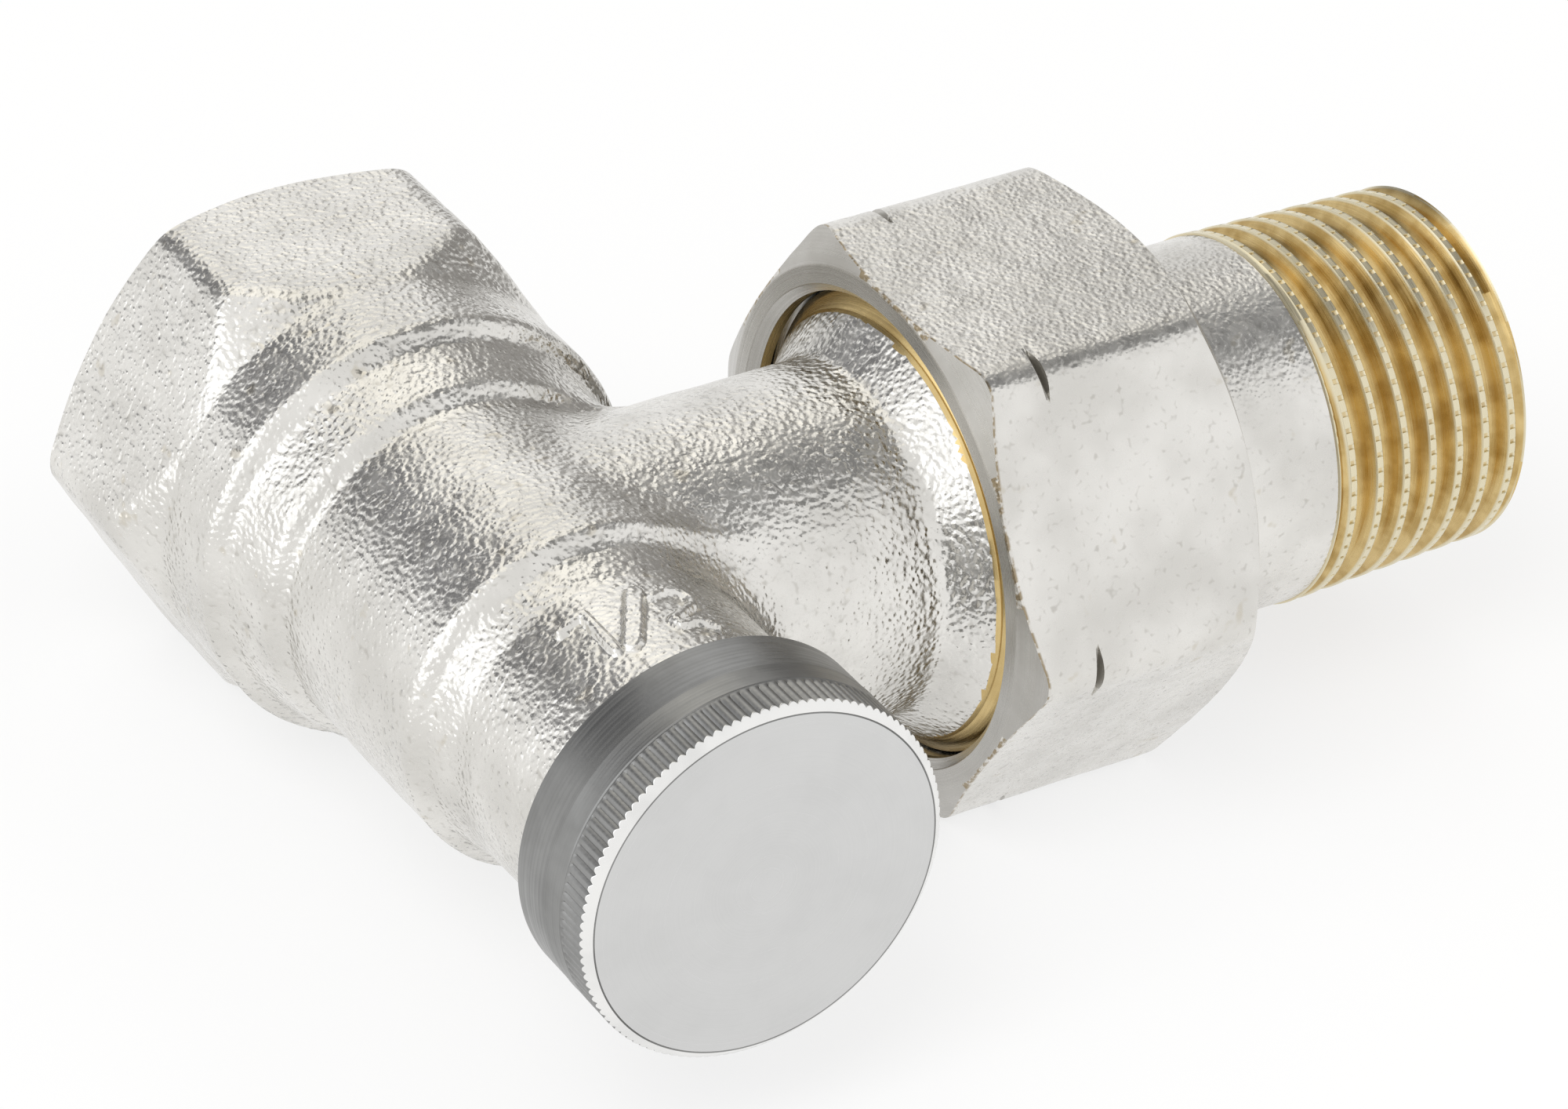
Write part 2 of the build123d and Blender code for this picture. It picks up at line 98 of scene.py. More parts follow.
def surface_of(field, low, high, step):
    """Vertices and quads of the surface where field is zero."""
    axes = [np.arange(low[i], high[i] + step, step) for i in range(3)]
    grid = np.meshgrid(*axes, indexing="ij")
    f = field(np.stack(grid, -1).reshape(-1, 3)).reshape(grid[0].shape)
    n = np.array(f.shape)
    total = np.zeros(tuple(n - 1) + (3,))
    count = np.zeros(tuple(n - 1))
    quads = []
    crossings = []
    for axis in range(3):
        a = np.moveaxis(f, axis, 0)
        cross = np.moveaxis((a[:-1] < 0) != (a[1:] < 0), 0, axis)
        at = np.argwhere(cross)
        inside = np.ones(len(at), bool)
        others = [k for k in range(3) if k != axis]
        for k in others:
            inside &= (at[:, k] >= 1) & (at[:, k] < n[k] - 1)
        at = at[inside]
        there = at.copy()
        there[:, axis] += 1
        fa = f[tuple(at.T)]
        fb = f[tuple(there.T)]
        point = at.astype(float)
        point[:, axis] += fa / (fa - fb)
        ring = []
        for du, dv in ((0, 0), (1, 0), (1, 1), (0, 1)):
            cell = at.copy()
            cell[:, others[0]] -= du
            cell[:, others[1]] -= dv
            np.add.at(total, tuple(cell.T), point)
            np.add.at(count, tuple(cell.T), 1)
            ring.append(cell)
        crossings.append((ring, (fa < 0) != (axis == 1)))
    used = count > 0
    index = np.full(count.shape, -1)
    index[used] = np.arange(used.sum())
    verts = total[used] / count[used][:, None] * step + np.array(low)
    for ring, outward in crossings:
        quad = np.stack([index[tuple(cell.T)] for cell in ring], 1)
        quad[~outward] = quad[~outward][:, ::-1]
        quads.append(quad)
    return verts, np.concatenate(quads)


def settled(field, verts, rounds=2):
    """Vertices moved on to the field's zero surface, and the outward normals there."""
    for _ in range(rounds + 1):
        value = field(verts)
        slope = np.stack(
            [field(verts + d) - field(verts - d) for d in np.eye(3) * 0.02], 1
        ) / 0.04
        size = np.linalg.norm(slope, axis=1)[:, None]
        verts = verts - slope * value[:, None] / np.maximum(size, 0.3) ** 2
    return verts, slope / size


def rough(points, size, seed):
    """Soft random values about 0, with features of this size."""
    shift = Vector((seed * 17.3, seed * 5.1, -seed * 9.7))
    return np.array([noise.noise(Vector(p) / size + shift) for p in points])


def mesh_object(name, verts, faces):
    mesh = bpy.data.meshes.new(name)
    mesh.from_pydata([tuple(v) for v in verts], [], [tuple(f) for f in faces])
    obj = bpy.data.objects.new(name, mesh)
    bpy.context.scene.collection.objects.link(obj)
    return obj


def coordinates(mesh):
    co = np.zeros(len(mesh.vertices) * 3, np.float32)
    mesh.vertices.foreach_get("co", co)
    return co.reshape(-1, 3).astype(float)


# ---- turned shapes: a profile round an axis, with its corners eased ----


def profile(corners, steps=3, loop=True):
    """Rows of (station, radius) through the corners; a third value eases that corner."""
    width = max(np.size(value) for corner in corners for value in corner[:2])
    q = np.array([[np.broadcast_to(v, (width,)) for v in c[:2]] for c in corners], float)
    q = np.moveaxis(q, 1, 2)
    rows = []
    for i, corner in enumerate(corners):
        ease = corner[2] if len(corner) > 2 else 0
        if not ease or (not loop and i in (0, len(corners) - 1)):
            rows.append(q[i])
            continue
        here, before, after = q[i], q[i - 1], q[(i + 1) % len(q)]
        back, ahead = before - here, after - here
        far_back = np.linalg.norm(back, axis=1)[:, None]
        far_ahead = np.linalg.norm(ahead, axis=1)[:, None]
        first = here + back * np.minimum(ease / np.maximum(far_back, 1e-6), 0.45)
        last = here + ahead * np.minimum(ease / np.maximum(far_ahead, 1e-6), 0.45)
        for k in range(steps + 1):
            t = k / steps
            rows.append((1 - t) ** 2 * first + 2 * t * (1 - t) * here + t * t * last)
    return np.array(rows)


def thread_rows(angles, ends, crest, depth, knots, tooth, hand=1, fade=0.8, phase=0.0):
    """Rows of a helical thread between two stations. tooth gives the depth's share at each knot."""
    start, end = ends
    turns = int(abs(end - start) / PITCH + 3)
    lead = hand * (angles / (2 * pi)) + phase
    rows = []
    for turn in range(-2, turns):
        for knot, share in zip(knots, tooth):
            along = (turn + knot + lead) * PITCH
            station = start + np.sign(end - start) * along
            low, high = min(start, end), max(start, end)
            held = np.clip(station, low, high)
            near = np.minimum(np.abs(held - start), np.abs(held - end))
            run = np.clip(near / fade, 0, 1)
            bottom = crest(held) if callable(crest) else crest
            rows.append(np.stack([held, bottom + depth * share * run], 1))
    return np.array(rows)


def turned(name, rows, angles, axis, closed=True):
    """Closed mesh from rows of (station, radius), one pair for each angle."""
    s, r = rows[..., 0], rows[..., 1]
    s, r = np.broadcast_to(s, (len(rows), len(angles))), np.broadcast_to(r, (len(rows), len(angles)))
    a, b = r * np.cos(angles), r * np.sin(angles)
    points = np.stack([s, a, b], -1) if axis == "x" else np.stack([a, s, b], -1)
    n, m = s.shape
    i = np.arange(n if closed else n - 1)[:, None]
    j = np.arange(m - 1)[None, :]
    after = (i + 1) % n
    quads = np.stack(np.broadcast_arrays(i * m + j, i * m + j + 1, after * m + j + 1, after * m + j), -1)
    obj = mesh_object(name, points.reshape(-1, 3), quads.reshape(-1, 4))
    bm = bmesh.new()
    bm.from_mesh(obj.data)
    bmesh.ops.remove_doubles(bm, verts=bm.verts, dist=2e-4)
    bmesh.ops.dissolve_degenerate(bm, edges=bm.edges, dist=1e-5)
    bmesh.ops.recalc_face_normals(bm, faces=bm.faces)
    bm.to_mesh(obj.data)
    bm.free()
    return obj


def whole_turn(count):
    return np.linspace(0, 2 * pi, count + 1)


def cut(obj, cutters):
    """Take the cutters out of obj, and remove them."""
    for cutter in cutters:
        step = obj.modifiers.new("cut", "BOOLEAN")
        step.operation = "DIFFERENCE"
        step.solver = "MANIFOLD"
        step.object = cutter
        graph = bpy.context.evaluated_depsgraph_get()
        result = bpy.data.meshes.new_from_object(obj.evaluated_get(graph))
        obj.modifiers.clear()
        old, obj.data = obj.data, result
        bpy.data.meshes.remove(old)
        bpy.data.objects.remove(cutter)
    return obj


def finished(obj, body, node, materials, sharp=35, weighted=False):
    """Set an object made in millimetres about the crossing in the row, give it its finishes, hang it from its body,
    and hide the CAD part it stands for.
    """
    mesh = obj.data
    co = in_row(coordinates(mesh))
    mesh.vertices.foreach_set("co", co.astype(np.float32).ravel())
    mesh.materials.clear()
    for material in materials:
        mesh.materials.append(material)
    mesh.shade_smooth()
    mesh.set_sharp_from_angle(angle=radians(sharp))
    mesh.update()
    if weighted:
        step = obj.modifiers.new("even", "WEIGHTED_NORMAL")
        step.keep_sharp = True
        step.weight = 100
        graph = bpy.context.evaluated_depsgraph_get()
        result = bpy.data.meshes.new_from_object(obj.evaluated_get(graph))
        obj.modifiers.clear()
        obj.data = result
        bpy.data.meshes.remove(mesh)
    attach(obj, body)
    if node:
        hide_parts(node)
    return obj


def face_centres(mesh):
    co = np.zeros(len(mesh.polygons) * 3, np.float32)
    mesh.polygons.foreach_get("center", co)
    return co.reshape(-1, 3).astype(float)


# ---- materials ----


class Finish:
    """A node material on one principled shader."""

    def __init__(self, name, metallic=1.0, roughness=0.3):
        self.material = bpy.data.materials.new(name)
        self.material.use_nodes = True
        self.tree = self.material.node_tree
        self.shader = self.tree.nodes["Principled BSDF"]
        self.shader.inputs["Metallic"].default_value = metallic
        self.shader.inputs["Roughness"].default_value = roughness
        self.bumps = None

    def node(self, kind, **values):
        made = self.tree.nodes.new(kind)
        for key, value in values.items():
            if hasattr(made, key):
                setattr(made, key, value)
            else:
                made.inputs[key.replace("_", " ")].default_value = value
        return made

    def link(self, source, target):
        self.tree.links.new(source, target)

    def place(self, centre=(0, 0, 0), stretch=(1, 1, 1)):
        """Object coordinates about a point, in metres."""
        where = self.node("ShaderNodeTexCoord").outputs["Object"]
        shifted = self.node("ShaderNodeVectorMath", operation="SUBTRACT")
        shifted.inputs[1].default_value = centre
        self.link(where, shifted.inputs[0])
        scaled = self.node("ShaderNodeVectorMath", operation="MULTIPLY")
        scaled.inputs[1].default_value = stretch
        self.link(shifted.outputs[0], scaled.inputs[0])
        return scaled.outputs[0]

    def turned_place(self, axis, centre):
        """(station, radius, 0) about an axis, so that a texture runs in rings."""
        split = self.node("ShaderNodeSeparateXYZ")
        self.link(self.place(centre), split.inputs[0])
        along, one, two = {"x": "XYZ", "y": "YXZ"}[axis]
        pair = self.node("ShaderNodeCombineXYZ")
        self.link(split.outputs[one], pair.inputs[0])
        self.link(split.outputs[two], pair.inputs[1])
        size = self.node("ShaderNodeVectorMath", operation="LENGTH")
        self.link(pair.outputs[0], size.inputs[0])
        ring = self.node("ShaderNodeCombineXYZ")
        self.link(split.outputs[along], ring.inputs[0])
        self.link(size.outputs["Value"], ring.inputs[1])
        return ring.outputs[0]

    def noise(self, where, size, detail=2.0, rough=0.55):
        """Noise with features of this size in millimetres."""
        made = self.node("ShaderNodeTexNoise", Scale=1000 / size, Detail=detail, Roughness=rough)
        self.link(where, made.inputs["Vector"])
        return made.outputs["Fac"]

    def cells(self, where, size):
        made = self.node("ShaderNodeTexVoronoi", feature="SMOOTH_F1", Scale=1000 / size)
        self.link(where, made.inputs["Vector"])
        return made.outputs["Distance"]

    def spread(self, value, low, high, to_low, to_high):
        made = self.node("ShaderNodeMapRange", interpolation_type="SMOOTHSTEP")
        for key, number in zip(("From Min", "From Max", "To Min", "To Max"), (low, high, to_low, to_high)):
            made.inputs[key].default_value = number
        self.link(value, made.inputs["Value"])
        return made.outputs["Result"]

    def blend(self, share, first, second):
        made = self.node("ShaderNodeMix", data_type="RGBA")
        self.link(share, made.inputs["Factor"])
        for socket, value in ((made.inputs[6], first), (made.inputs[7], second)):
            if isinstance(value, tuple):
                socket.default_value = (*value, 1)
            else:
                self.link(value, socket)
        return made.outputs[2]

    def times(self, a, b, operation="MULTIPLY"):
        made = self.node("ShaderNodeMath", operation=operation)
        for socket, value in zip(made.inputs, (a, b)):
            if isinstance(value, (int, float)):
                socket.default_value = value
            else:
                self.link(value, socket)
        return made.outputs[0]

    def bump(self, height, depth, hollow=False):
        """Add relief of this depth in millimetres."""
        made = self.node("ShaderNodeBump", invert=hollow, Distance=depth / 1000)
        made.inputs["Strength"].default_value = 1.0
        self.link(height, made.inputs["Height"])
        if self.bumps is not None:
            self.link(self.bumps, made.inputs["Normal"])
        self.bumps = made.outputs["Normal"]
        self.link(self.bumps, self.shader.inputs["Normal"])

    def nut_rim(self, where):
        """Share of the speckled line where the nut's flats meet the turned near chamfer."""
        split = self.node("ShaderNodeSeparateXYZ")
        self.link(self.turned_place("x", CROSSING), split.inputs[0])
        lean = self.times(split.outputs["Y"], tan(radians(NEAR_SLOPE)))
        behind = self.times(split.outputs["X"], lean, "SUBTRACT")
        edge = (NUT_NEAR - (NUT_FLAT_R - 0.1) * tan(radians(NEAR_SLOPE))) / 1000
        line = self.spread(behind, edge + 0.00006, edge + 0.00022, 1.0, 0.0)
        specks = self.spread(self.noise(where, 0.5, 2.0), 0.42, 0.56, 0.1, 0.9)
        return self.times(line, specks)

    def colour(self, source):
        self.link(source, self.shader.inputs["Base Color"])

    def roughness(self, source):
        self.link(source, self.shader.inputs["Roughness"])


CROSSING = (0, -INLET_REACH / 1000, 0)
NICKEL = (0.66, 0.645, 0.61)
# Painted shade: the colour that darkens the valleys between forged grains.
NICKEL_VALLEY_SHADE = (0.42, 0.40, 0.36)
NICKEL_LIGHT = (0.80, 0.785, 0.75)
BRASS = (0.70, 0.53, 0.25)
BRASS_DEEP = (0.46, 0.31, 0.11)


def forged_nickel(name, grain_size, grain_depth, rim=False):
    """Hot-forged brass under nickel: a sugary grain with softly mottled plating, and painted shade that darkens the
    valleys between the grains.
    """
    f = Finish(name)
    where = f.place()
    mottle = f.noise(where, 6.0, 3.0)
    tone = f.blend(f.spread(mottle, 0.3, 0.7, 0.0, 1.0), NICKEL, NICKEL_LIGHT)
    grains = f.cells(where, grain_size)
    # Painted shade in the valleys between the grains, where the grain bump sinks.
    valley_shade = f.spread(grains, 0.55, 0.85, 0.0, 0.5)
    stain = f.spread(f.noise(where, 1.6, 2.0), 0.66, 0.74, 0.0, 0.35)
    tone = f.blend(stain, f.blend(valley_shade, tone, NICKEL_VALLEY_SHADE), (0.50, 0.44, 0.32))
    if rim:
        tone = f.blend(f.nut_rim(where), tone, (0.30, 0.23, 0.13))
    f.colour(tone)
    f.roughness(f.spread(f.noise(where, 0.9), 0.35, 0.65, 0.20, 0.31))
    f.bump(f.noise(where, grain_size * 1.4, 2.0, 0.5), grain_depth * 0.7)
    f.bump(grains, grain_depth, True)
    return f.material


def turned_metal(name, axis, base, dark, roughness, ring_depth=0.006, ring_size=0.12):
    """Turned metal with fine tool rings and a slight haze."""
    f = Finish(name)
    centre = CROSSING
    ring = f.turned_place(axis, centre)
    where = f.place()
    rings = f.noise(ring, ring_size, 2.0)
    haze = f.noise(where, 3.0, 3.0)
    f.colour(f.blend(f.spread(haze, 0.35, 0.75, 0.0, 0.6), base, dark))
    f.roughness(f.spread(rings, 0.3, 0.7, roughness * 0.8, roughness * 1.25))
    f.bump(rings, ring_depth)
    f.bump(f.noise(where, 0.25), ring_depth * 0.6)
    return f.material


def rubber():
    """Black seal rubber, slightly dusty."""
    f = Finish("seal_rubber", metallic=0.0)
    where = f.place()
    f.colour(f.blend(f.noise(where, 0.6), (0.012, 0.012, 0.013), (0.035, 0.034, 0.033)))
    f.roughness(f.spread(f.noise(where, 0.3), 0.3, 0.7, 0.45, 0.7))
    f.bump(f.noise(where, 0.12), 0.006)
    return f.material


def spring_steel():
    f = Finish("spring_steel")
    where = f.place()
    f.colour(f.blend(f.noise(where, 0.8), (0.36, 0.35, 0.34), (0.55, 0.54, 0.52)))
    f.roughness(f.spread(f.noise(where, 0.2), 0.3, 0.7, 0.25, 0.45))
    f.bump(f.noise(where, 0.08), 0.004)
    return f.material


def tail_thread():
    """Bare brass thread: golden flanks with silvery crests."""
    f = Finish("tail_thread")
    where = f.place()
    ring = f.turned_place("x", CROSSING)
    split = f.node("ShaderNodeSeparateXYZ")
    f.link(ring, split.inputs[0])
    crest = f.times(f.times(split.outputs["X"], -1 / 32), 0.01022 + 0.058 / 32, "ADD")
    below = f.times(crest, split.outputs["Y"], "SUBTRACT")
    share = f.spread(below, 0.00004, 0.00016, 1.0, 0.0)
    gold = f.blend(f.spread(f.noise(where, 2.2, 3.0), 0.35, 0.7, 0.0, 1.0), BRASS, BRASS_DEEP)
    f.colour(f.blend(share, gold, (0.76, 0.69, 0.50)))
    f.roughness(f.spread(f.noise(ring, 0.1), 0.3, 0.7, 0.22, 0.36))
    f.bump(f.noise(ring, 0.12), 0.005)
    return f.material


FORGED = forged_nickel("forged_nickel", 0.30, 0.075)
FORGED_FINE = forged_nickel("forged_nickel_fine", 0.26, 0.036)
NUT_SKIN = forged_nickel("nut_nickel", 0.26, 0.036, True)
TURNED_X = turned_metal("turned_nickel_x", "x", (0.52, 0.505, 0.475), (0.42, 0.405, 0.37), 0.28)
TURNED_Y = turned_metal("turned_nickel_y", "y", NICKEL, (0.50, 0.485, 0.45), 0.24)
# Painted shade: the cap's side, knurl and inside take this dark base colour, though they are the same turned nickel
# as its face.
CAP_SIDE_PAINTED_SHADE = turned_metal("cap_side_painted_shade", "y", (0.30, 0.30, 0.295), (0.20, 0.20, 0.195), 0.36, 0.006, 0.2)
CAP_FACE = turned_metal("cap_face", "y", (0.66, 0.66, 0.655), (0.62, 0.62, 0.615), 0.34, 0.002, 0.1)
# Painted highlight: the cap's front chamfer takes this near-white base colour, lighter than the same nickel on its
# face.
CAP_EDGE_PAINTED_HIGHLIGHT = turned_metal("cap_edge_painted_highlight", "y", (0.86, 0.855, 0.84), (0.7, 0.7, 0.69), 0.16, 0.004, 0.08)
BRASS_X = turned_metal("brass_edge", "x", BRASS, BRASS_DEEP, 0.25)
BRASS_TURNED = turned_metal("bare_brass", "y", BRASS, BRASS_DEEP, 0.28)
TAIL_THREAD = tail_thread()
RUBBER = rubber()
STEEL = spring_steel()

NODE_FINISH = {
    "bonnet": BRASS_TURNED,
    "spindle": BRASS_TURNED,
    "shutter": BRASS_TURNED,
    "bonnet_seal": RUBBER,
    "spindle_seal_outer": RUBBER,
    "spindle_seal_inner": RUBBER,
    "seat_washer": RUBBER,
    "cap_gasket": RUBBER,
    "tail_seal": RUBBER,
    "spindle_stop_ring": STEEL,
    "shutter_clip": STEEL,
    "washer_screw": STEEL,
}
for node, finish in NODE_FINISH.items():
    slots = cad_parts[node].data.materials
    slots.clear()
    slots.append(finish)


# ---- valve body ----

SHOULDER_R = INLET_AF / 2 - 0.05
CORNER_R = INLET_AF / 2 / COS30
SHOULDER_END = 6.1 + (SHOULDER_R - BARREL_R) / tan(radians(24.8))
SHOULDER_START = SHOULDER_END + 4.74
HEX_END = SHOULDER_START + (CORNER_R - SHOULDER_R) / tan(radians(29))
FLARE_END = FLARE_START + (FLARE_R - BRANCH_R) / tan(radians(FLARE_SLOPE))
LIP_R = FLARE_R - 0.22
LIP_START = FLARE_END - 0.22 / tan(radians(FLARE_SLOPE))

# Each change of size is two short steep steps with a gentle slope between them.
main_outline = soft_outline(
    [-26, -9.3, -9.0, -7.4, -6.6, 6.6, 7.3, 10.6, 11.4, SHOULDER_START, HEX_END, 30],
    [
        NECK_R, NECK_R, NECK_R + 0.15, NECK_R + 0.55, BARREL_R, BARREL_R, BARREL_R + 0.75,
        SHOULDER_R - 0.9, SHOULDER_R, SHOULDER_R, CORNER_R, CORNER_R,
    ],
    0.14,
)
branch_outline = soft_outline(
    [-3, FLARE_START, FLARE_END + 1.5, 33],
    [BRANCH_R, BRANCH_R, FLARE_R + 1.45, FLARE_R + 1.45],
    0.3,
)


def hexagon_field(a, b, flat_r, turn, ease):
    field = None
    for k in range(3):
        angle = pi / 6 + k * pi / 3 + turn
        side = np.abs(a * cos(angle) + b * sin(angle)) - flat_r
        field = side if field is None else smooth_max(field, side, ease)
    return field


def body_field(p):
    x, y, z = p.T
    round_r = np.sqrt(x * x + z * z)
    main = main_outline(y, round_r)
    main = smooth_max(main, hexagon_field(x, z, INLET_AF / 2, 0, 1.0), 0.28)
    main = np.maximum(main, np.maximum(y - INLET_REACH - STOCK, -y - NECK_END - STOCK))
    side_r = np.sqrt(y * y + z * z)
    branch = branch_outline(x, side_r)
    branch = np.maximum(branch, np.maximum(-x, x - SPIGOT_REACH - STOCK))
    along = z * z / np.maximum(round_r * side_r, 1e-6)
    return smooth_min(main, branch, 2.4 * (1 - along * along) + 1e-3)


# The raised 1/2 on the neck, as strokes of (degrees round the neck from the top, station)
SIZE_MARK = [
    [(26.6, -11.42), (22.0, -11.17), (17.3, -11.22), (17.5, -13.01), (17.7, -14.79)],
    [(-1.4, -11.33), (5.4, -13.18), (12.0, -14.9)],
    [
        (-5.4, -11.97), (-10.9, -11.57), (-15.4, -11.67), (-18.5, -12.32), (-16.7, -13.15),
        (-10.2, -13.75), (-5.3, -14.25), (-6.1, -14.85), (-13.0, -14.65), (-17.3, -15.34),
    ],
]
MARK_HALF_WIDTHS, MARK_HEIGHT = (0.26, 0.5, 0.26), 0.34


def mark_height(points):
    """Height of the raised size mark above each point of the neck."""
    flat = np.stack([np.arctan2(-points[:, 0], points[:, 2]) * NECK_R, points[:, 1]], 1)
    nearest = np.full(len(points), 9.0)
    for stroke, half_width in zip(SIZE_MARK, MARK_HALF_WIDTHS):
        line = np.array([(radians(a) * NECK_R, s) for a, s in stroke])
        for p, q in zip(line[:-1], line[1:]):
            t = np.clip((flat - p) @ (q - p) / ((q - p) @ (q - p)), 0, 1)
            gap = np.linalg.norm(flat - p - t[:, None] * (q - p), axis=1)
            nearest = np.minimum(nearest, gap - half_width)
    edge = np.clip((0.16 - nearest) / 0.3, 0, 1)
    raised = MARK_HEIGHT * edge * edge * (3 - 2 * edge)
    return np.where(points[:, 2] > 0, raised, 0)


def make_valve_body():
    low, high = (-14.6, -24.0, -15.4), (32.0, 29.4, 15.4)
    verts, quads = surface_of(body_field, low, high, VOXEL)
    verts, normals = settled(body_field, verts)
    wave = 0.05 * rough(verts, 2.8, 1) + 0.014 * rough(verts, 1.1, 2)
    obj = mesh_object("forged_body", verts + normals * wave[:, None], quads)
    bm = bmesh.new()
    bm.from_mesh(obj.data)
    near_mark = [
        f
        for f in bm.faces
        if -16.6 < f.calc_center_median().y < -9.9
        and f.calc_center_median().z > 7
        and -5.2 < f.calc_center_median().x < 4.2
    ]
    edges = list({e for f in near_mark for e in f.edges})
    bmesh.ops.subdivide_edges(bm, edges=edges, cuts=2, use_grid_fill=True)
    bm.normal_update()
    points = np.array([v.co for v in bm.verts])
    height = mark_height(points)
    for v, h in zip(bm.verts, height):
        if h > 0:
            v.co += v.normal * h
    bmesh.ops.triangulate(bm, faces=[f for f in bm.faces if len(f.verts) > 4])
    bm.to_mesh(obj.data)
    bm.free()

    flat_r = INLET_AF / 2
    around = whole_turn(288)
    bore_thread = thread_rows(
        around, (INLET_REACH - 0.9, INLET_FLOOR + 0.3), INLET_BORE_R, 1.12,
        (0.0, 0.16, 0.44, 0.56, 0.84), (0, 0, 1, 1, 0), fade=1.2,
    )
    reach = 20.0
    head = profile([
        (INLET_REACH + 3, 0),
        (INLET_REACH + 3, reach),
        (INLET_REACH - (reach - flat_r + MOUTH_RIM) * tan(radians(MOUTH_SLOPE)), reach),
        (INLET_REACH, flat_r - MOUTH_RIM, 0.15),
        (INLET_REACH, INLET_BORE_R + 1.35, 0.1),
        (INLET_REACH - 1.0, INLET_BORE_R),
    ], loop=False)
    rest = profile([
        (INLET_FLOOR, INLET_BORE_R),
        (INLET_FLOOR - (INLET_BORE_R - 4.2) / tan(radians(49)), 4.2, 0.3),
        (4.6, 4.2, 0.1), (4.6, 4.8, 0.1), (5.2, 5.4), (5.2, 6.6), (-7.5, 6.6), (-7.5, 5.4),
        (-9.5, 5.4), (-9.5, 6.0), (-16.0, 6.0), (-16.0, 6.3), (-25.0, 6.3), (-25.0, 0),
    ], loop=False)
    wide = lambda rows: np.broadcast_to(rows, (len(rows), len(around), 2)) if rows.shape[1] == 1 else rows
    main_way = turned("main_way", np.concatenate([wide(head), bore_thread, wide(rest)]), around, "y")

    neck_thread = thread_rows(
        around, (-NECK_SHOULDER - 0.5, -NECK_END + 0.5), CAP_THREAD_R, -0.6,
        (0.0, 0.12, 0.5, 0.88), (0, 0, 1, 0), fade=0.5,
    )
    neck_head = profile([
        (-26.0, 13), (-NECK_SHOULDER, 13), (-NECK_SHOULDER, CAP_THREAD_R, 0.1),
    ], loop=False)
    neck_tail = profile([
        (0.4 - NECK_END, CAP_THREAD_R), (-NECK_END, CAP_THREAD_R - 0.4), (-NECK_END, 5.0), (-26.0, 5.0),
    ], loop=False)
    neck_ring = turned("neck_ring", np.concatenate([wide(neck_head), neck_thread, wide(neck_tail)]), around, "y")

    seat_inner = SPIGOT_REACH - (UNION_SEAT_R - OUTLET_BORE_R) / tan(radians(30))
    side_way = turned("side_way", wide(profile([
        (6.0, 0), (6.0, OUTLET_BORE_R), (seat_inner, OUTLET_BORE_R), (SPIGOT_REACH, UNION_SEAT_R, 0.1),
        (SPIGOT_REACH, 11.5), (33.0, 11.5), (33.0, 0),
    ], loop=False)), around, "x")
    spigot_thread = thread_rows(
        around, (FLARE_END + 1.5, SPIGOT_REACH - 0.6), SPIGOT_R, -1.0,
        (0.0, 0.1, 0.45, 0.55, 0.9), (0, 0, 1, 1, 0), fade=0.9,
    )
    spigot_head = profile([
        (33.0, 17), (LIP_START, 17), (LIP_START, LIP_R), (FLARE_END, LIP_R + 0.16), (FLARE_END + 0.1, LIP_R + 0.08),
        (FLARE_END + 0.93, SPIGOT_R, 0.1),
    ], loop=False)
    spigot_tail = profile([
        (SPIGOT_REACH - 0.5, SPIGOT_R), (SPIGOT_REACH, SPIGOT_R - 0.5), (SPIGOT_REACH, 11.0), (33.0, 11.0),
    ], loop=False)
    spigot_ring = turned("spigot_ring", np.concatenate([wide(spigot_head), spigot_thread, wide(spigot_tail)]), around, "x")
    cut(obj, [main_way, neck_ring, side_way, spigot_ring])

    centres = face_centres(obj.data)
    skin = np.abs(body_field(centres)) < 0.12
    skin |= (mark_height(centres) > 0) & (np.hypot(centres[:, 0], centres[:, 2]) > NECK_R - 0.3)
    slot = np.where(skin, 0, np.where(np.abs(centres[:, 1]) < 14.2, 2, 1))
    side_r = np.hypot(centres[:, 1], centres[:, 2])
    band = (centres[:, 0] > LIP_START + 0.005) & (centres[:, 0] < FLARE_END + 1.0) & (side_r > LIP_R - 0.1)
    slot[band] = 3
    finished(obj, "valve", "valve_body", [FORGED, TURNED_Y, TURNED_X, BRASS_X], sharp=38)
    obj.data.polygons.foreach_set("material_index", slot.astype(np.int32))
    obj.data.update()
    return obj


# ---- union nut ----


def nut_field(p):
    x, y, z = p.T
    field = hexagon_field(y, z, NUT_FLAT_R, NUT_TURN, 1.15)
    return np.maximum(field, np.maximum(NUT_NEAR - STOCK - x, x - NUT_FAR - STOCK))


